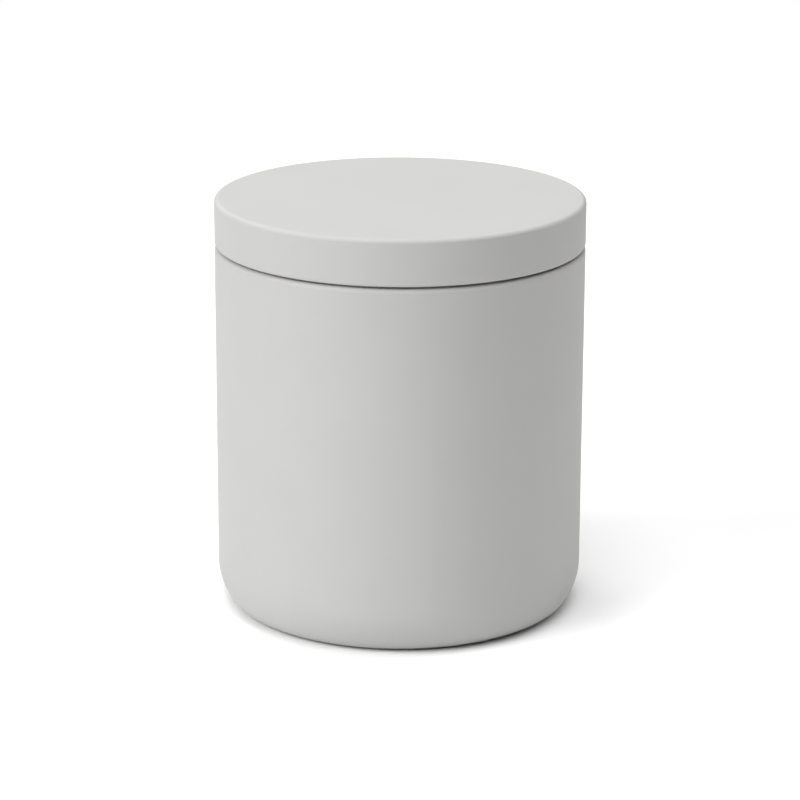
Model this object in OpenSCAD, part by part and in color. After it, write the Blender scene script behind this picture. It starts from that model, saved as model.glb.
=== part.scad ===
// Candle tin: a deep-drawn sheet-metal tin with a flush slip-on lid, made up
// with its poured candle. Every piece is a solid of revolution about +Z. The
// origin is the centre of the base, on the surface that the tin stands on.

/* [Tin] */
// Outer diameter of the tin's wall and of the lid, which are flush
tin_d = 80; // [76:1:90]
// Height of the shoulder that the lid's edge sits above
shoulder_z = 80.1; // [70:0.1:100]
// Thickness of the drawn and coated sheet, in the tin and in the lid
sheet = 0.4; // [0.3:0.05:0.45]
// Radius of the shoulder's outer edge
shoulder_r = 1.1; // [0.8:0.1:1.2]
// Outer radius of the rolled rim on top of the neck
rim_roll_r = 0.9; // [0.7:0.1:1.2]

/* [Base] */
// Radius of the upper, slower part of the base corner
corner_upper_r = 14; // [10:0.5:18]
// Radius of the lower, tighter part of the base corner
corner_lower_r = 4.5; // [3:0.5:7]
// Angle below level at which the upper part hands over to the lower one
corner_turn = 30; // [20:1:50]
// Width of the flat ring that the tin stands on
stand_ring_w = 3.2; // [2:0.2:5]
// Height of the raised base panel inside the standing ring
panel_rise = 1; // [1:0.1:1.6]

/* [Lid] */
// Height of the lid, from its rolled edge to its top
lid_h = 10; // [8:0.5:14]
// Radius of the lid's top edge
lid_edge_r = 1; // [0.8:0.1:2]
// Outer radius of the roll at the lid's lower edge
lid_roll_r = 0.65; // [0.6:0.05:0.7]
// Shadow gap between the lid's edge and the tin's shoulder
shadow_gap = 0.4; // [0.3:0.1:0.9]
// Clearance between the lid's roll and the neck that it slips over
slip_fit = 0.2; // [0.1:0.05:0.3]

/* [Liner] */
// Thickness of the foam liner inside the lid
liner_t = 1; // [0.8:0.1:1.5]
// Gap between the liner's edge and the lid's rounded top corner
liner_edge_gap = 0.2; // [0.1:0.05:0.5]
// Gap between the liner and the rim that it closes on
liner_seat_gap = 0.1; // [0.05:0.05:0.3]

/* [Candle] */
// Depth of the head space from the rim down to the wax
head_space = 19; // [14:1:30]
// Diameter of the primed wick
wick_d = 2.6; // [2:0.1:3.2]
// Length of wick that stands above the wax
wick_trim = 8; // [5:0.5:10]
// Diameter of the sustainer's disc
sustainer_d = 20; // [15:1:24]
// Thickness of the sustainer's sheet
sustainer_t = 0.3; // [0.25:0.05:0.5]
// Height of the sustainer's neck above its disc
sustainer_neck_h = 6; // [3:0.5:9]
// Radius of the flare where the sustainer's neck leaves its disc
sustainer_flare_r = 1; // [0.5:0.1:2]
// Diameter of the adhesive sticker
sticker_d = 18; // [13:1:22]
// Thickness of the adhesive sticker
sticker_t = 1; // [0.8:0.1:1.5]

/* [Hidden] */
$fn = 96;

cut = 0.01; // overshoot of a cutting shape past the face that it opens
tin_r = tin_d / 2;

// Base corner: two arcs, tangent to each other at corner_turn
lower_z = corner_lower_r;
upper_z = lower_z + (corner_upper_r - corner_lower_r) * sin(corner_turn);
upper_x = tin_r - corner_upper_r;
lower_x = upper_x + (corner_upper_r - corner_lower_r) * cos(corner_turn);

// Step between the standing ring and the raised panel: two equal arcs
step_r = panel_rise / 2;
stand_in_r = lower_x - stand_ring_w;
panel_r = stand_in_r - panel_rise;
floor_z = panel_rise + sheet;

// Lid, flush with the wall and above the shoulder by the shadow gap
lid_low_z = shoulder_z + shadow_gap;
lid_top_z = lid_low_z + lid_h;
lid_edge_x = tin_r - lid_edge_r;
lid_edge_z = lid_top_z - lid_edge_r;
lid_roll_x = tin_r - lid_roll_r;
lid_roll_z = lid_low_z + lid_roll_r;
liner_r = lid_edge_x - liner_edge_gap;
liner_top_z = lid_top_z - sheet;
liner_low_z = liner_top_z - liner_t;

// Neck, which fits inside the lid's roll and ends below the liner
shoulder_x = tin_r - shoulder_r;
shoulder_low_z = shoulder_z - shoulder_r;
neck_r = tin_r - 2 * lid_roll_r - slip_fit;
neck_fillet_r = shoulder_x - neck_r;
neck_fillet_z = shoulder_z + neck_fillet_r;
rim_z = liner_low_z - liner_seat_gap;
rim_roll_x = neck_r - rim_roll_r;
rim_roll_z = rim_z - rim_roll_r;

// Candle, from the floor of the tin upwards
wick_r = wick_d / 2;
sticker_r = sticker_d / 2;
sustainer_z = floor_z + sticker_t;
disc_top_z = sustainer_z + sustainer_t;
sustainer_top_z = disc_top_z + sustainer_neck_h;
sustainer_neck_r = wick_r + sustainer_t;
flare_x = sustainer_neck_r + sustainer_flare_r;
flare_z = disc_top_z + sustainer_flare_r;
wax_z = rim_z - head_space;
wick_top_z = wax_z + wick_trim;

// Rectangle between two corners
module block(x0, z0, x1, z1) {
    polygon([[x0, z0], [x1, z0], [x1, z1], [x0, z1]]);
}

// Disc about a point
module disc(x, z, r) {
    translate([x, z]) circle(r);
}

// Slice of the base corner's upper disc, from level down to corner_turn
module upper_corner(r) {
    reach = 2 * r;
    intersection() {
        disc(upper_x, upper_z, r);
        polygon([
            [upper_x, upper_z],
            [upper_x + reach * cos(corner_turn), upper_z - reach * sin(corner_turn)],
            [upper_x + reach, upper_z]
        ]);
    }
}

// Hollow under the base, inside the standing ring
module base_hollow(inset) {
    block(0, -cut, panel_r, panel_rise + inset);
    disc(panel_r, step_r, step_r + inset);
    difference() {
        block(0, -cut, stand_in_r, step_r);
        disc(stand_in_r, step_r, step_r - inset);
    }
}

// Shoulder and the hollow corner between it and the neck
module shoulder_section(inset) {
    disc(shoulder_x, shoulder_low_z, shoulder_r - inset);
    difference() {
        block(0, shoulder_low_z, shoulder_x, neck_fillet_z);
        disc(shoulder_x, neck_fillet_z, neck_fillet_r + inset);
    }
}

// Half section of the tin, filled. An inset of zero gives its outer face, and
// an inset of one sheet gives its inner face.
module tin_section(inset, top_z) {
    difference() {
        union() {
            block(0, inset, lower_x, upper_z);
            disc(lower_x, lower_z, corner_lower_r - inset);
            upper_corner(corner_upper_r - inset);
            block(0, upper_z, tin_r - inset, shoulder_low_z);
            shoulder_section(inset);
            block(0, shoulder_low_z, neck_r - inset, top_z);
        }
        base_hollow(inset);
    }
}

// Rolled sheet edge: a ring with the quarter to the right of its centre left
// out, above the centre (side = 1) or below it (side = -1)
module rolled_edge(x, z, r, side) {
    reach = 2 * r;
    difference() {
        disc(x, z, r);
        disc(x, z, r - sheet);
        block(x, z, x + reach, z + side * reach);
    }
}

module tin_body() {
    color([0.80, 0.80, 0.79]) rotate_extrude() {
        difference() {
            tin_section(0, rim_roll_z);
            tin_section(sheet, rim_roll_z + cut);
        }
        rolled_edge(rim_roll_x, rim_roll_z, rim_roll_r, -1);
    }
}

// Half section of the lid, filled, with its top edge rounded
module lid_section(inset, low_z) {
    block(0, low_z, tin_r - inset, lid_edge_z);
    disc(lid_edge_x, lid_edge_z, lid_edge_r - inset);
    block(0, lid_edge_z, lid_edge_x, lid_top_z - inset);
}

module lid() {
    color([0.80, 0.80, 0.79]) rotate_extrude() {
        difference() {
            lid_section(0, lid_roll_z);
            lid_section(sheet, lid_roll_z - cut);
        }
        rolled_edge(lid_roll_x, lid_roll_z, lid_roll_r, 1);
    }
}

module lid_liner() {
    color([0.93, 0.93, 0.91]) rotate_extrude() block(0, liner_low_z, liner_r, liner_top_z);
}

// Half section of the sustainer: a disc that flares into the wick's neck
module sustainer_section() {
    block(wick_r, sustainer_z, sustainer_d / 2, disc_top_z);
    block(wick_r, sustainer_z, sustainer_neck_r, sustainer_top_z);
    difference() {
        block(wick_r, sustainer_z, flare_x, flare_z);
        disc(flare_x, flare_z, sustainer_flare_r);
    }
}

module wick_sustainer() {
    color([0.72, 0.72, 0.70]) rotate_extrude() sustainer_section();
}

module wick_sticker() {
    color([0.95, 0.95, 0.93]) rotate_extrude() block(0, floor_z, sticker_r, sustainer_z);
}

module wick() {
    color([0.95, 0.93, 0.87]) rotate_extrude() block(0, sustainer_z, wick_r, wick_top_z);
}

module wax() {
    color([0.96, 0.93, 0.86]) rotate_extrude() difference() {
        intersection() {
            tin_section(sheet, rim_roll_z);
            block(0, 0, tin_r, wax_z);
        }
        block(0, floor_z - cut, sticker_r, sustainer_z);
        block(0, sustainer_z, wick_r, wax_z + cut);
        sustainer_section();
    }
}

tin_body();
lid();
lid_liner();
wax();
wick();
wick_sustainer();
wick_sticker();
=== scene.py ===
# %% [markdown]
# # A candle tin around its frame
# The tin is a drawn metal shell with a slip-on lid, and the candle is poured
# straight into it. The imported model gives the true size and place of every
# piece, so it is loaded first and nothing in it is moved. Each piece is then
# modelled again with the smooth curves and fine detail that a close view
# needs. Measuring the frame is surer than typing the sizes in a second time.

# %% Load the frame
import math
import random

import bmesh
import bpy
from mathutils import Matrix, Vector
from mathutils.kdtree import KDTree


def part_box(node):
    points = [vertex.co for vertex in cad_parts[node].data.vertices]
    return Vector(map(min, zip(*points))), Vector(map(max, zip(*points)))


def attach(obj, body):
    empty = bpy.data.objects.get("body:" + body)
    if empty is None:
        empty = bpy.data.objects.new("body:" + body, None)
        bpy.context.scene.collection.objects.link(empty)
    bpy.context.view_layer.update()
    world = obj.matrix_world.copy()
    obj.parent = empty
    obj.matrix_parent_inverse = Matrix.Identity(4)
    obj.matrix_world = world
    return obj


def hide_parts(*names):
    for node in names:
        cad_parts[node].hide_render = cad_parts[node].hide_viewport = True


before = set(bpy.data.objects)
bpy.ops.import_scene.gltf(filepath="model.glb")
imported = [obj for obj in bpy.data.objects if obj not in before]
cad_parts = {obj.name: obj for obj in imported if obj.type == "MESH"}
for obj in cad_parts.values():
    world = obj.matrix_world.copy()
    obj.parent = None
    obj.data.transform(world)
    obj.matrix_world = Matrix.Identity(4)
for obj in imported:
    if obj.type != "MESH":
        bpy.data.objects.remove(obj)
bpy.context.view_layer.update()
MM = 0.001
print("nodes:", ", ".join(sorted(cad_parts)))

# %% [markdown]
# ## Sizes
# A node's box gives the outer sizes of its piece. What lies between them is
# how the sheet is formed: its thickness, the radii of its corners and the
# rolls at its edges. A press tool sets those radii, so they are named values,
# and every outline below is worked out from them.

# %% Read the sizes that the frame gives
tin_top_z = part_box("tin_body")[1].z
lid_low_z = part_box("lid")[0].z
lid_top_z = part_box("lid")[1].z
tin_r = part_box("lid")[1].x
liner_low_z, liner_top_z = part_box("lid_liner")[0].z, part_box("lid_liner")[1].z
liner_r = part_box("lid_liner")[1].x
wax_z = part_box("wax")[1].z
wick_r, wick_top_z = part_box("wick")[1].x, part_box("wick")[1].z
sticker_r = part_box("wick_sticker")[1].x
floor_z, sustainer_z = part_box("wick_sticker")[0].z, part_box("wick_sticker")[1].z
sustainer_r, sustainer_top_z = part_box("wick_sustainer")[1].x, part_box("wick_sustainer")[1].z
print(f"tin {2 * tin_r / MM:.1f} mm across, {lid_top_z / MM:.1f} mm high with its lid")

# %% Name the sizes of the formed sheet
SHEET = 0.4 * MM
SHADOW_GAP = 0.4 * MM
SLIP_FIT = 0.2 * MM
SHOULDER_R = 1.1 * MM
RIM_ROLL_R = 0.9 * MM
LID_ROLL_R = 0.65 * MM
LID_EDGE_R = 1.0 * MM
CORNER_UPPER_R = 14.0 * MM
CORNER_LOWER_R = 4.5 * MM
CORNER_TURN = 30.0
STAND_RING_W = 3.2 * MM
SUSTAINER_T = 0.3 * MM
SUSTAINER_FLARE_R = 1.0 * MM

# %% Work out the places between them
turn = math.radians(CORNER_TURN)
upper_x = tin_r - CORNER_UPPER_R
lower_x = upper_x + (CORNER_UPPER_R - CORNER_LOWER_R) * math.cos(turn)
upper_z = CORNER_LOWER_R + (CORNER_UPPER_R - CORNER_LOWER_R) * math.sin(turn)
panel_z = floor_z - SHEET
step_r = panel_z / 2
stand_in_r = lower_x - STAND_RING_W
panel_r = stand_in_r - panel_z
shoulder_z = lid_low_z - SHADOW_GAP
shoulder_x = tin_r - SHOULDER_R
neck_r = tin_r - 2 * LID_ROLL_R - SLIP_FIT
neck_fillet_r = shoulder_x - neck_r
rim_roll_x = neck_r - RIM_ROLL_R
rim_roll_z = tin_top_z - RIM_ROLL_R
lid_edge_x, lid_edge_z = tin_r - LID_EDGE_R, lid_top_z - LID_EDGE_R
lid_roll_x, lid_roll_z = tin_r - LID_ROLL_R, lid_low_z + LID_ROLL_R
print(f"neck {2 * neck_r / MM:.1f} mm across, standing ring {2 * lower_x / MM:.1f} mm across")

# %% [markdown]
# ## Camera
# A product is best seen from a little above, through a long lens, so that its
# upright sides stay nearly parallel. The camera looks along +Y and a little
# down, at the middle of the tin. A small turn about the lens and a very small
# shift put the tin where a hand-held frame would.

# %% Place the camera
CAMERA_DISTANCE = 682.9 * MM
CAMERA_ELEVATION = math.radians(16.727)
CAMERA_ROLL = math.radians(0.218)
LENS, SENSOR = 140.2, 36.0
SHIFT_X, SHIFT_Y = 0.0006, 0.0039
CLIP_START = 10 * MM
LOOK_AT_Z = 44 * MM

bpy.ops.object.camera_add(
    location=(
        0,
        -CAMERA_DISTANCE * math.cos(CAMERA_ELEVATION),
        LOOK_AT_Z + CAMERA_DISTANCE * math.sin(CAMERA_ELEVATION),
    ),
    rotation=(math.pi / 2 - CAMERA_ELEVATION, 0, 0),
)
camera = bpy.context.object
camera.rotation_euler.rotate_axis("Z", CAMERA_ROLL)
camera.data.lens, camera.data.sensor_width = LENS, SENSOR
camera.data.shift_x, camera.data.shift_y = SHIFT_X, SHIFT_Y
camera.data.clip_start = CLIP_START
bpy.context.scene.camera = camera
print("camera at", [round(value, 3) for value in camera.location])

# %% [markdown]
# ## Turned outlines
# Every sheet-metal piece here is round, so its section is the whole design. A
# section could be extruded ring by ring from a circle, or drawn once and spun.
# Spinning was chosen, because the outline then reads like the press tool's
# drawing: arcs, straight runs between them, and nothing else. Two extra points
# close to the ends of a straight run keep the shading of the flat even.

# %% Draw arcs and straight runs
EDGE_SUPPORT = 0.25 * MM
SAME_PLACE = 0.001 * MM


def arc(x, z, radius, start, end, step=6):
    """Points on an arc about (x, z), from one angle to another, in degrees."""
    count = max(2, math.ceil(abs(end - start) / step))
    angles = [math.radians(start + (end - start) * i / count) for i in range(count + 1)]
    return [Vector((x + radius * math.cos(a), 0, z + radius * math.sin(a))) for a in angles]


def point(x, z):
    return [Vector((x, 0, z))]


def joined(*runs):
    """One outline from several runs, with support points on the long straights."""
    outline = list(runs[0])
    for run in runs[1:]:
        gap = run[0] - outline[-1]
        if gap.length > 4 * EDGE_SUPPORT:
            support = gap.normalized() * EDGE_SUPPORT
            outline += [outline[-1] + support, run[0] - support]
        outline += [p for p in run if (p - outline[-1]).length > SAME_PLACE]
    return outline


# %% Spin an outline into a piece
SPIN_STEPS = 256
MERGE_DISTANCE = 0.0005 * MM
SHARP_ANGLE = math.radians(45)


def drawn(name, outline):
    """A new object that holds the outline as a chain of edges."""
    bpy.ops.object.select_all(action="DESELECT")
    bpy.ops.mesh.primitive_plane_add(size=MM)
    piece = bpy.context.object
    piece.name = piece.data.name = name
    bpy.ops.object.mode_set(mode="EDIT")
    bpy.ops.mesh.merge(type="CENTER")
    bpy.ops.transform.translate(value=outline[0])
    for here, there in zip(outline, outline[1:]):
        bpy.ops.mesh.extrude_vertices_move(TRANSFORM_OT_translate={"value": there - here})
    return piece


def turned(name, outline, steps=SPIN_STEPS):
    """A closed piece: the outline spun a whole turn about the tin's axis."""
    piece = drawn(name, outline)
    bpy.ops.mesh.select_all(action="SELECT")
    bpy.ops.mesh.spin(steps=steps, angle=2 * math.pi, center=(0, 0, 0), axis=(0, 0, 1))
    bpy.ops.mesh.select_all(action="SELECT")
    bpy.ops.mesh.remove_doubles(threshold=MERGE_DISTANCE)
    bpy.ops.mesh.normals_make_consistent(inside=False)
    bpy.ops.object.mode_set(mode="OBJECT")
    bpy.ops.object.shade_smooth_by_angle(angle=SHARP_ANGLE)
    print(f"{name}: {len(outline)} outline points, {len(piece.data.polygons)} faces")
    return piece


# %% [markdown]
# ## Tin
# The tin is one disc of sheet, drawn into a cup in several strokes. The last
# tools set the raised base panel, the two-part base corner, the shoulder, and
# the neck with its inward roll. Both faces of the sheet follow one outline,
# set in by nothing or by one thickness, so a function of that inset gives
# both, and the wall has the same thickness all the way round its corners.

# %% Turn the tin
ROLL_STEP = 9


def tin_face(inset):
    """The tin's section from the middle of its base to the top of its neck."""
    return joined(
        point(0, panel_z + inset),
        arc(panel_r, step_r, step_r + inset, 90, 0, ROLL_STEP),
        arc(stand_in_r, step_r, step_r - inset, 180, 270, ROLL_STEP),
        arc(lower_x, CORNER_LOWER_R, CORNER_LOWER_R - inset, -90, -CORNER_TURN, step=5),
        arc(upper_x, upper_z, CORNER_UPPER_R - inset, -CORNER_TURN, 0, step=3),
        arc(shoulder_x, shoulder_z - SHOULDER_R, SHOULDER_R - inset, 0, 90),
        arc(shoulder_x, shoulder_z + neck_fillet_r, neck_fillet_r + inset, 270, 180),
        point(neck_r - inset, rim_roll_z),
    )


tin_outline = joined(
    tin_face(0),
    arc(rim_roll_x, rim_roll_z, RIM_ROLL_R, 0, 270, ROLL_STEP),
    arc(rim_roll_x, rim_roll_z, RIM_ROLL_R - SHEET, 270, 0, ROLL_STEP),
    tin_face(SHEET)[::-1],
)
tin = turned("tin_shell", tin_outline)

# %% [markdown]
# ## Lid
# The lid is a shallow drawn cap with a tight top edge. Its lower edge is
# rolled inwards: that hides the raw cut, stiffens the skirt, and leaves a
# narrow ring that slips over the neck. It is drawn and spun like the tin.

# %% Turn the lid


def lid_face(inset):
    """The lid's section from the middle of its top to the roll."""
    return joined(
        point(0, lid_top_z - inset),
        arc(lid_edge_x, lid_edge_z, LID_EDGE_R - inset, 90, 0),
        point(tin_r - inset, lid_roll_z),
    )


lid_outline = joined(
    lid_face(0),
    arc(lid_roll_x, lid_roll_z, LID_ROLL_R, 0, -270, ROLL_STEP),
    arc(lid_roll_x, lid_roll_z, LID_ROLL_R - SHEET, -270, 0, ROLL_STEP),
    lid_face(SHEET)[::-1],
)
lid = turned("lid_shell", lid_outline)

# %% [markdown]
# ## Liner
# A disc of closed-cell foam is pressed into the lid. The rim closes on it, and
# after the first closing it keeps a shallow ring-shaped dent. The dent and the
# soft cut edge are in the outline itself, so they show from any angle and not
# only where light grazes a bump.

# %% Turn the foam liner
DENT_DEPTH = 0.12 * MM
DENT_HALF_W = 0.8 * MM
LINER_CUT_R = 0.15 * MM
DENT_POINTS = 12

dent = []
for i in range(DENT_POINTS + 1):
    across = 2 * i / DENT_POINTS - 1
    depth = DENT_DEPTH * (1 + math.cos(math.pi * across)) / 2
    dent += point(rim_roll_x + DENT_HALF_W * across, liner_low_z + depth)
liner_cut_x = liner_r - LINER_CUT_R
liner_outline = joined(
    point(0, liner_low_z),
    dent,
    arc(liner_cut_x, liner_low_z + LINER_CUT_R, LINER_CUT_R, -90, 0, step=18),
    arc(liner_cut_x, liner_top_z - LINER_CUT_R, LINER_CUT_R, 0, 90, step=18),
    point(0, liner_top_z),
)
liner = turned("foam_liner", liner_outline)

# %% [markdown]
# ## Wax
# Poured wax wets what it touches, so it climbs the wall and the wick a little,
# and it shrinks as it sets, so the rest of its top sinks. Both climbs die away
# over about a millimetre, which an exponential describes. The wax also soaks
# into the braid, so its outline goes a little inside the wick's own radius.
# The top then gets a very slight waviness from a cloud texture in a Displace
# modifier. Sculpting would do too, but would differ from one run to the next.

# %% Turn the candle
WAX_SINK = 0.35 * MM
WAX_CLIMB = 0.6 * MM
WAX_CLIMB_REACH = 0.9 * MM
WAX_OFF_WALL = 0.02 * MM
WAX_SOAK = 0.45 * MM
WAX_RINGS = 72
wax_wall_x = tin_r - SHEET - WAX_OFF_WALL
soaked_r = wick_r - WAX_SOAK


def wax_height(x):
    """Height of the wax at a distance from the axis."""
    from_wick, from_wall = max(0, x - wick_r), wax_wall_x - x
    climbs = math.exp(-from_wick / WAX_CLIMB_REACH) + math.exp(-from_wall / WAX_CLIMB_REACH)
    return wax_z - WAX_SINK + WAX_CLIMB * climbs


def wax_top():
    """Rings across the wax, close together at the wick and at the wall."""
    places = [(1 - math.cos(math.pi * i / WAX_RINGS)) / 2 for i in range(WAX_RINGS + 1)]
    radii = [soaked_r + (wax_wall_x - soaked_r) * place for place in places]
    return [Vector((x, 0, wax_height(x))) for x in radii]


disc_top_z = sustainer_z + SUSTAINER_T
collar_r = wick_r + SUSTAINER_T
flare_x, flare_z = collar_r + SUSTAINER_FLARE_R, disc_top_z + SUSTAINER_FLARE_R
inner = SHEET + WAX_OFF_WALL
wax_outline = joined(
    wax_top(),
    arc(upper_x, upper_z, CORNER_UPPER_R - inner, 0, -CORNER_TURN, step=5),
    arc(lower_x, CORNER_LOWER_R, CORNER_LOWER_R - inner, -CORNER_TURN, -90, step=10),
    arc(stand_in_r, step_r, step_r - inner, 270, 180, step=30),
    arc(panel_r, step_r, step_r + inner, 0, 90, step=15),
    point(sticker_r, floor_z + WAX_OFF_WALL),
    point(sticker_r, sustainer_z),
    point(sustainer_r, sustainer_z),
    point(sustainer_r, disc_top_z),
    arc(flare_x, flare_z, SUSTAINER_FLARE_R, 270, 180, step=15),
    point(collar_r, sustainer_top_z),
    point(soaked_r, sustainer_top_z),
    point(soaked_r, wax_height(soaked_r)),
)
wax = turned("poured_wax", wax_outline)

# %% Let the top of the wax wave a little
WAX_WAVE = 0.22 * MM
WAX_WAVE_SIZE = 16 * MM
STILL_EDGE = 2 * MM
TOP_MARGIN = 0.1 * MM

waves = bpy.data.textures.new("wax_waves", "CLOUDS")
waves.noise_scale, waves.noise_depth = WAX_WAVE_SIZE, 1
top = wax.vertex_groups.new(name="top")
for vertex in wax.data.vertices:
    x = math.hypot(vertex.co.x, vertex.co.y)
    if vertex.co.z > wax_z - WAX_SINK - TOP_MARGIN:
        off_edge = min(x - wick_r, wax_wall_x - x) / STILL_EDGE
        top.add([vertex.index], max(0, min(1, off_edge)), "REPLACE")
wave = wax.modifiers.new("wave", "DISPLACE")
wave.texture, wave.vertex_group = waves, top.name
wave.direction, wave.strength, wave.mid_level = "Z", WAX_WAVE, 0.5
bpy.ops.object.modifier_apply(modifier=wave.name)
print(f"the wax is {wax_height(wax_wall_x / 2) / MM:.1f} mm up between the wick and the wall")

# %% [markdown]
# ## Wick
# The wick is a round cotton braid. Strands of paired yarns run both ways round
# the axis, and each crosses over one strand and under the next. A yarn is a
# helix whose distance from the axis swings once for every two crossings, with
# opposite signs in the two directions, so the over and under come out right by
# themselves. Curves with a round bevel draw the yarns, and become meshes after.

# %% Braid the wick
STRANDS_EACH_WAY = 4
YARNS_EACH_WAY = 2 * STRANDS_EACH_WAY
YARN_R = 0.27 * MM
BRAID_PITCH = 9 * MM
YARN_RING = 0.28 * MM
CUT_UNEVEN = 0.25 * MM
YARN_SHARP_ANGLE = math.radians(50)
braid_r = wick_r - 2 * YARN_R
braid_bottom_z, braid_top_z = sustainer_z, wick_top_z
rng = random.Random(7)


def strung(name, places, radius):
    """A curve object with a round section along the given places."""
    curve = bpy.data.curves.new(name, "CURVE")
    curve.dimensions = "3D"
    curve.bevel_depth, curve.bevel_resolution, curve.use_fill_caps = radius, 2, True
    spline = curve.splines.new("POLY")
    spline.points.add(len(places) - 1)
    for spline_point, place in zip(spline.points, places):
        spline_point.co = (*place, 1)
    thread = bpy.data.objects.new(name, curve)
    bpy.context.collection.objects.link(thread)
    return thread


def yarn(way, index):
    """One yarn of the braid; way is 1 or -1."""
    top_z = braid_top_z - CUT_UNEVEN * rng.random()
    count = round((top_z - braid_bottom_z) / YARN_RING)
    places = []
    for i in range(count + 1):
        rise = (top_z - braid_bottom_z) * i / count
        angle = way * 2 * math.pi * rise / BRAID_PITCH + 2 * math.pi * index / YARNS_EACH_WAY
        swing = math.cos(2 * math.pi * STRANDS_EACH_WAY * rise / BRAID_PITCH)
        out = braid_r + way * YARN_R * swing
        places.append((out * math.cos(angle), out * math.sin(angle), braid_bottom_z + rise))
    return strung("yarn", places, YARN_R)


threads = [yarn(way, index) for way in (1, -1) for index in range(YARNS_EACH_WAY)]
core_places = [(0, 0, braid_bottom_z), (0, 0, braid_top_z - CUT_UNEVEN)]
threads.append(strung("core", core_places, braid_r))

# %% Fray the cut end
FIBRES = 18
FIBRE_R = 0.018 * MM
FIBRE_DEPTH = 0.5 * MM
FIBRE_LEAN = 0.35 * MM
FIBRE_SHORT, FIBRE_LONG = 0.5 * MM, 0.75 * MM
for i in range(FIBRES):
    angle = rng.uniform(0, 2 * math.pi)
    root = Vector((math.cos(angle), math.sin(angle), 0)) * rng.uniform(0.3, 1) * braid_r
    root.z = braid_top_z - FIBRE_DEPTH
    lean = Vector((rng.uniform(-1, 1), rng.uniform(-1, 1), 0)) * FIBRE_LEAN
    rise = Vector((0, 0, rng.uniform(FIBRE_SHORT, FIBRE_LONG)))
    bend = root + rise * 0.6 + lean * 0.3
    threads.append(strung("fibre", [root, bend, root + rise + lean], FIBRE_R))

bpy.ops.object.select_all(action="DESELECT")
for thread in threads:
    thread.select_set(True)
bpy.context.view_layer.objects.active = threads[0]
bpy.ops.object.convert(target="MESH")
bpy.ops.object.join()
wick = bpy.context.object
wick.name = wick.data.name = "braided_wick"
bpy.ops.object.mode_set(mode="EDIT")
bpy.ops.mesh.select_all(action="SELECT")
bpy.ops.mesh.remove_doubles(threshold=MERGE_DISTANCE)
bpy.ops.mesh.normals_make_consistent(inside=False)
bpy.ops.object.mode_set(mode="OBJECT")
bpy.ops.object.shade_smooth_by_angle(angle=YARN_SHARP_ANGLE)
print("braided_wick:", len(threads), "yarns and fibres,", len(wick.data.polygons), "faces")

# %% [markdown]
# ## Sustainer and sticker
# A stamped disc with a tall collar grips the wick's foot, and a foam dot holds
# the disc to the floor of the tin. The wax covers both, but a maker who melts
# the candle out will see them. They are spun like the rest, with the small
# rounded edges that stamping and die cutting leave.

# %% Turn the sustainer and the sticker
CUT_EDGE_R = 0.1 * MM
SMALL_SPIN_STEPS = 96
sustainer_outline = joined(
    point(wick_r, sustainer_z),
    arc(sustainer_r - CUT_EDGE_R, sustainer_z + CUT_EDGE_R, CUT_EDGE_R, -90, 0, step=30),
    arc(sustainer_r - CUT_EDGE_R, disc_top_z - CUT_EDGE_R, CUT_EDGE_R, 0, 90, step=30),
    arc(flare_x, flare_z, SUSTAINER_FLARE_R, 270, 180, step=10),
    arc(collar_r - CUT_EDGE_R, sustainer_top_z - CUT_EDGE_R, CUT_EDGE_R, 0, 90, step=30),
    point(wick_r, sustainer_top_z),
    point(wick_r, sustainer_z),
)
sustainer = turned("wick_holder", sustainer_outline, SMALL_SPIN_STEPS)

sticker_outline = joined(
    point(0, floor_z),
    arc(sticker_r - CUT_EDGE_R, floor_z + CUT_EDGE_R, CUT_EDGE_R, -90, 0, step=30),
    arc(sticker_r - CUT_EDGE_R, sustainer_z - CUT_EDGE_R, CUT_EDGE_R, 0, 90, step=30),
    point(0, sustainer_z),
)
sticker = turned("foam_dot", sticker_outline, SMALL_SPIN_STEPS)

# %% [markdown]
# ## Shader tools
# A finish is mostly arithmetic on noise. Written as nodes and links it is long
# and hard to read, so a small class wraps a socket and turns Python's own
# operators into Math nodes. A second class keeps one material's nodes: it adds
# a node, sets it, and fills its sockets with numbers or with other sockets.

# %% Wrap a socket in arithmetic


class Signal:
    """An output socket that takes part in Python expressions."""

    def __init__(self, finish, socket):
        self.finish, self.socket = finish, socket

    def maths(self, operation, *values):
        inputs = dict(enumerate(values))
        return self.finish.node("ShaderNodeMath", {"operation": operation}, inputs)

    def __add__(self, other):
        return self.maths("ADD", self, other)

    def __mul__(self, other):
        return self.maths("MULTIPLY", self, other)

    __radd__, __rmul__ = __add__, __mul__


# %% Collect one material's nodes


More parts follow.
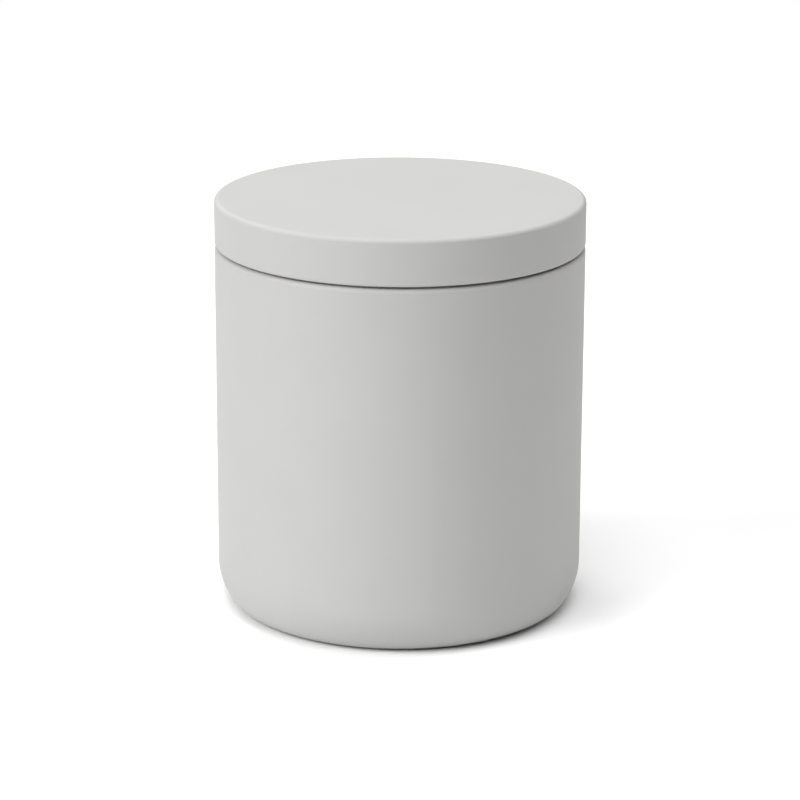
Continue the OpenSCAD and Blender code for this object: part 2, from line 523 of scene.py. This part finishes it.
class Finish:
    """One material: its nodes, its shared patterns and its shader."""

    def __init__(self, name):
        self.material = bpy.data.materials.new(name)
        self.material.use_nodes = True
        self.tree = self.material.node_tree
        self.shader = self.tree.nodes["Principled BSDF"]
        self.place = self.node("ShaderNodeTexCoord", output="Object")

    def fill(self, socket, value):
        """Sets a socket to a number or colour, or links it."""
        if isinstance(value, Signal):
            self.tree.links.new(value.socket, socket)
        else:
            socket.default_value = value

    def node(self, kind, settings=None, inputs=None, output=0):
        """Adds a node and returns one of its outputs."""
        node = self.tree.nodes.new(kind)
        for setting, value in (settings or {}).items():
            setattr(node, setting, value)
        for key, value in (inputs or {}).items():
            self.fill(node.inputs[key], value)
        return Signal(self, node.outputs[output])

    def stretched(self, scale):
        """Object coordinates, multiplied along X, Y and Z."""
        return self.node("ShaderNodeMapping", None, {"Vector": self.place, "Scale": scale})

    def noise(self, size, detail=2.0, roughness=0.5, place=None):
        """Noise from 0 to 1, whose features are about that size in metres."""
        inputs = {"Scale": 1 / size, "Detail": detail, "Roughness": roughness}
        inputs["Vector"] = place or self.place
        return self.node("ShaderNodeTexNoise", None, inputs)

    def mix(self, factor, first, second):
        """A colour between two others. A Mix node's colours are its sockets 6, 7 and 2."""
        settings = {"data_type": "RGBA", "clamp_factor": True}
        return self.node("ShaderNodeMix", settings, {0: factor, 6: first, 7: second}, output=2)

    def band(self, value, low, high):
        """A smooth step: 0 below low and 1 above high."""
        settings = {"interpolation_type": "SMOOTHSTEP"}
        inputs = {"Value": value, "From Min": low, "From Max": high}
        return self.node("ShaderNodeMapRange", settings, inputs)

    def relief(self, height, depth):
        """A bumped normal; height is from 0 to 1 and depth is in metres."""
        inputs = {"Strength": 1.0, "Distance": depth, "Height": height}
        return self.node("ShaderNodeBump", None, inputs)

    def surface(self, **sockets):
        """Fills the shader's sockets, named with underscores for spaces."""
        for name, value in sockets.items():
            self.fill(self.shader.inputs[name.replace("_", " ")], value)
        print("finish", self.material.name, "has", len(self.tree.nodes), "nodes")


# %% [markdown]
# ## Coat
# The outside has a baked powder coat, matte and a slightly warm light grey. A
# powder coat melts into a film that is nearly level: what is left is a faint
# orange peel of about a millimetre, and a much finer grain that scatters the
# light. Both are real heights of a few microns, so they go to one bump, while
# the colour and the roughness only drift by a percent or two.

# %% Mix the coat
COAT_GREY = (0.481, 0.480, 0.470, 1)
COAT_GREY_THIN = (0.473, 0.472, 0.461, 1)
PEEL_SIZE, GRAIN_SIZE, DRIFT_SIZE = 1.1 * MM, 0.16 * MM, 14 * MM
PEEL_DEPTH = 0.006 * MM

coat = Finish("powder_coat")
peel = coat.noise(PEEL_SIZE, 2)
grain = coat.noise(GRAIN_SIZE, 1)
drift = coat.noise(DRIFT_SIZE, 3)
coat.surface(
    Base_Color=coat.mix(coat.band(drift, 0.3, 0.7), COAT_GREY_THIN, COAT_GREY),
    Roughness=0.58 + drift * 0.06 + grain * 0.04,
    Normal=coat.relief(peel * 0.7 + grain * 0.3, PEEL_DEPTH),
    IOR=1.5,
)

# %% [markdown]
# ## Tinplate
# Inside, the sheet is bare tinplate under a clear lacquer. Drawing leaves fine
# lines that run the way the punch moved, up and down the wall, so its noise is
# stretched along Z. A soft cloudiness in the roughness stands for the lacquer.

# %% Mix the tinplate
PLATE_BRIGHT = (0.76, 0.755, 0.74, 1)
PLATE_DULL = (0.72, 0.715, 0.70, 1)
DRAW_LINES = (1, 1, 0.04)
LINE_SIZE, CLOUD_SIZE = 0.14 * MM, 9 * MM
LINE_DEPTH = 0.0006 * MM

plate = Finish("tinplate_lacquered")
lines = plate.noise(LINE_SIZE, 2, place=plate.stretched(DRAW_LINES))
cloud = plate.noise(CLOUD_SIZE, 3)
plate.surface(
    Base_Color=plate.mix(plate.band(lines, 0.35, 0.65), PLATE_DULL, PLATE_BRIGHT),
    Metallic=1.0,
    Roughness=0.22 + lines * 0.06 + cloud * 0.10,
    Normal=plate.relief(lines, LINE_DEPTH),
)

# %% [markdown]
# ## Foam
# The liner and the sticker are white closed-cell foam. Skived foam shows the
# cut cells as tiny round pits with thin walls between, which is what Voronoi
# distances give. The pits are also painted a darker grey, which is painted
# shade in the hollows of the cells. The two differ only in the size of the
# cell, the white and this painted shade.

# %% Mix the foams
CELL_DEPTH = 0.03 * MM


def foam(name, cell, white, painted_pit_shade):
    """A closed-cell foam with cells of that size."""
    finish = Finish(name)
    cells = finish.node(
        "ShaderNodeTexVoronoi",
        {"feature": "F1"},
        {"Vector": finish.place, "Scale": 1 / cell, "Randomness": 0.9},
        output="Distance",
    )
    walls = finish.band(cells, 0.15, 0.6)
    finish.surface(
        # The pits take the darker colour: painted shade in the hollows of the cells.
        Base_Color=finish.mix(walls, painted_pit_shade, white),
        Roughness=0.72 + walls * 0.12,
        Normal=finish.relief(walls, CELL_DEPTH),
        Subsurface_Weight=0.15,
        Subsurface_Radius=(0.6, 0.6, 0.6),
        Subsurface_Scale=0.8 * MM,
    )
    return finish


# Each foam's second colour is the painted shade in its pits.
liner_foam = foam("skived_foam", 0.55 * MM, (0.88, 0.88, 0.86, 1), (0.78, 0.78, 0.76, 1))
dot_foam = foam("foam_tape", 0.3 * MM, (0.90, 0.90, 0.87, 1), (0.80, 0.80, 0.76, 1))

# %% [markdown]
# ## Wax
# Container wax is cream and translucent: light enters, scatters and comes out
# a few millimetres off. Its top sets with a dull bloom in patches, so the
# roughness and the colour follow one soft noise, and a finer noise gives the
# pebbled skin.

# %% Mix the wax
WAX_CREAM = (0.77, 0.715, 0.605, 1)
WAX_BLOOM = (0.785, 0.738, 0.64, 1)
BLOOM_SIZE, PEBBLE_SIZE = 5 * MM, 0.7 * MM
PEBBLE_DEPTH = 0.02 * MM

candle = Finish("cream_wax")
bloom = candle.band(candle.noise(BLOOM_SIZE, 4, 0.6), 0.42, 0.68)
pebble = candle.noise(PEBBLE_SIZE, 3)
candle.surface(
    Base_Color=candle.mix(bloom, WAX_CREAM, WAX_BLOOM),
    Roughness=0.38 + bloom * 0.20,
    Normal=candle.relief(pebble, PEBBLE_DEPTH),
    IOR=1.44,
    Subsurface_Weight=0.6,
    Subsurface_Radius=(1.0, 0.75, 0.45),
    Subsurface_Scale=2.5 * MM,
)

# %% [markdown]
# ## Cotton
# The wick's yarns are spun from fibres and primed with wax. The braid itself
# is modelled, so the finish adds only what is smaller: fibres about a tenth of
# a millimetre apart, and the waxy film that fills some of the hollows.

# %% Mix the cotton
COTTON_PALE = (0.90, 0.86, 0.75, 1)
COTTON_WAXY = (0.82, 0.77, 0.64, 1)
FIBRE_SIZE, FILM_SIZE = 0.07 * MM, 1.2 * MM
COTTON_DEPTH = 0.008 * MM

cotton = Finish("primed_cotton")
fibres = cotton.noise(FIBRE_SIZE, 3, place=cotton.stretched((1, 1, 0.35)))
film = cotton.noise(FILM_SIZE, 2)
clean = cotton.band(fibres * 0.6 + film * 0.4, 0.3, 0.6)
cotton.surface(
    Base_Color=cotton.mix(clean, COTTON_WAXY, COTTON_PALE),
    Roughness=0.55 + fibres * 0.25,
    Normal=cotton.relief(fibres, COTTON_DEPTH),
    Subsurface_Weight=0.2,
    Subsurface_Radius=(0.8, 0.6, 0.4),
    Subsurface_Scale=0.5 * MM,
)

# %% [markdown]
# ## Dress the pieces
# The tin and the lid are coated outside and plain inside, and the coat stops
# at the tip of each roll. A face belongs to the stretch of outline that it was
# spun from, and the nearest middle of an outline segment tells which one.

# %% Give each piece its finish
ON_ROLL = 0.01 * MM


def dress(piece, *finishes):
    for finish in finishes:
        piece.data.materials.append(finish.material)


def plate_inside(piece, outline, tip):
    """Gives the second finish to the faces spun from the outline past tip."""
    tree = KDTree(len(outline) - 1)
    for i, (here, there) in enumerate(zip(outline, outline[1:])):
        tree.insert((here + there) / 2, i)
    tree.balance()
    bpy.ops.object.select_all(action="DESELECT")
    bpy.context.view_layer.objects.active = piece
    bpy.ops.object.mode_set(mode="EDIT")
    mesh = bmesh.from_edit_mesh(piece.data)
    for face in mesh.faces:
        centre = face.calc_center_median()
        section = Vector((math.hypot(centre.x, centre.y), 0, centre.z))
        face.select_set(tree.find(section)[1] >= tip)
    bmesh.update_edit_mesh(piece.data)
    piece.active_material_index = 1
    bpy.ops.object.material_slot_assign()
    bpy.ops.object.mode_set(mode="OBJECT")
    inside = sum(face.material_index for face in piece.data.polygons)
    print(f"{piece.name}: {inside} of {len(piece.data.polygons)} faces are plain plate")


def roll_tip(outline, x, z, radius):
    """Where an outline first steps in from a roll's outer radius."""
    centre = Vector((x, 0, z))
    return max(i for i, p in enumerate(outline) if abs((p - centre).length - radius) < ON_ROLL)


dress(tin, coat, plate)
dress(lid, coat, plate)
plate_inside(tin, tin_outline, roll_tip(tin_outline, rim_roll_x, rim_roll_z, RIM_ROLL_R))
plate_inside(lid, lid_outline, roll_tip(lid_outline, lid_roll_x, lid_roll_z, LID_ROLL_R))
dress(liner, liner_foam)
dress(wax, candle)
dress(wick, cotton)
dress(sustainer, plate)
dress(sticker, dot_foam)

# %% [markdown]
# ## Join the pieces to the frame
# Each piece takes the place of its own node and rides on the body that the
# node belongs to, so that the lid and its liner lift off together and the
# candle stays in the tin.

# %% Ride on the bodies
STANDS_FOR = {
    tin: ("tin_body", "tin", "tin_coat"),
    lid: ("lid", "lid", "lid_coat"),
    liner: ("lid_liner", "lid", "liner_foam"),
    wax: ("wax", "tin", "wax"),
    wick: ("wick", "tin", "wick_cotton"),
    sustainer: ("wick_sustainer", "tin", "tinplate"),
    sticker: ("wick_sticker", "tin", "sticker_foam"),
}
for piece, (node, body, slot) in STANDS_FOR.items():
    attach(piece, body)
    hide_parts(node)
print(len(STANDS_FOR), "pieces stand for", len(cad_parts), "nodes")

# %% [markdown]
# ## Floor and light
# A small product studio has a pale floor and a few broad soft lights. The large
# one on the left shades the round wall from left to right. Those high in front
# and overhead lift the lid and the floor, and the two behind keep the tin's
# edges from going dark. The room itself is dim, so the shadow gap stays dark,
# and the pale floor lights the wall from below. The floor stops before the
# light on it grows weak and grey. Past it the camera sees a white backdrop.
# Only its own rays see it, which a Light Path node picks out, so the horizon
# disappears and the light on the tin doesn't change.

# %% Lay the floor
FLOOR_SIZE = 1.5
PAPER_WHITE = (0.93, 0.93, 0.93, 1)
bpy.ops.object.select_all(action="DESELECT")
bpy.ops.mesh.primitive_plane_add(size=FLOOR_SIZE)
floor = bpy.context.object
floor.name = "floor"
paper = Finish("pale_paper")
paper_grain = paper.noise(0.6 * MM, 2)
paper.surface(Base_Color=PAPER_WHITE, Roughness=0.85 + paper_grain * 0.1)
dress(floor, paper)

# %% Light the room
WORLD_STRENGTH = 0.03
BACKDROP_STRENGTH = 1.0
LIGHT_DISTANCE = 2.5
LIGHTS = [
    # name, degrees round to the left of the camera, degrees up, size in metres, watts
    ("key_left", 60, 35, 1.7, 47.2),
    ("high_front", 0, 60, 1.7, 17.3),
    ("back_left", 150, 35, 1.7, 16.3),
    ("back_right", -120, 45, 1.7, 18.6),
    ("overhead", 0, 90, 2.0, 33.1),
]

world = bpy.data.worlds.new("room")
bpy.context.scene.world = world
world.use_nodes = True
nodes, links = world.node_tree.nodes, world.node_tree.links
room, backdrop = nodes["Background"], nodes.new("ShaderNodeBackground")
for background, strength in ((room, WORLD_STRENGTH), (backdrop, BACKDROP_STRENGTH)):
    background.inputs["Color"].default_value = (1, 1, 1, 1)
    background.inputs["Strength"].default_value = strength
choice = nodes.new("ShaderNodeMixShader")
links.new(nodes.new("ShaderNodeLightPath").outputs["Is Camera Ray"], choice.inputs[0])
links.new(room.outputs[0], choice.inputs[1])
links.new(backdrop.outputs[0], choice.inputs[2])
links.new(choice.outputs[0], nodes["World Output"].inputs["Surface"])
for name, round_left, up, size, power in LIGHTS:
    across, rise = math.radians(round_left), math.radians(up)
    level = math.cos(rise)
    towards = Vector((-math.sin(across) * level, -math.cos(across) * level, math.sin(rise)))
    place = towards * LIGHT_DISTANCE
    facing = (Vector((0, 0, LOOK_AT_Z)) - place).to_track_quat("-Z", "Y")
    bpy.ops.object.light_add(type="AREA", location=place, rotation=facing.to_euler())
    lamp = bpy.context.object
    lamp.name = name
    lamp.data.shape, lamp.data.size, lamp.data.energy = "DISK", size, power
bpy.context.scene.view_settings.view_transform = "Standard"
print(len(LIGHTS), "lights, in a room of strength", WORLD_STRENGTH)
